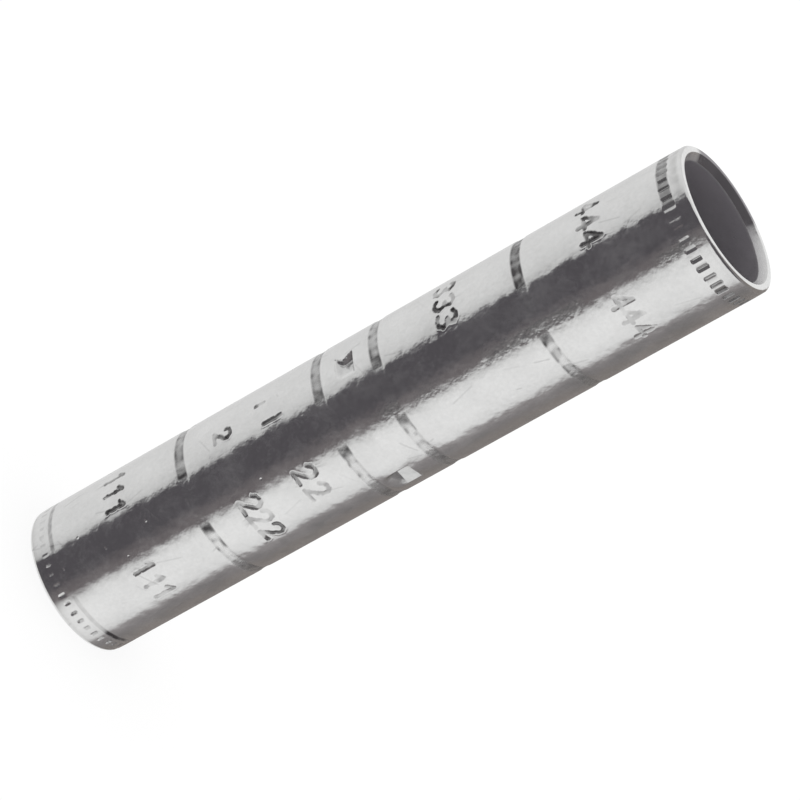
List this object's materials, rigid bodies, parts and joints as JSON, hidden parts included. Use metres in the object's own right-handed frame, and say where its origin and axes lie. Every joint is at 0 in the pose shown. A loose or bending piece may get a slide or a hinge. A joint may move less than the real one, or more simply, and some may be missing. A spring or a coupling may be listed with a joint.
{
  "type": "butt splice connector",
  "caption": "Straight tin-plated copper tube that joins two stranded conductors end to end by crimping, with stop dents at mid-length and knurled rings.",
  "frame": {"origin": "centre of the lower end face", "axes": "+Z along the tube's axis, from the lower end to the open upper end; -Y is the side that faces the camera"},
  "size_m": [0.0166, 0.0166, 0.0826],
  "materials": {
    "tinned_copper": "bright tin plate over copper, slightly wavy, with roll marks and small scratches"
  },
  "bodies": {
    "root": {"splice_barrel": "tinned_copper"}
  },
  "joints": []
}
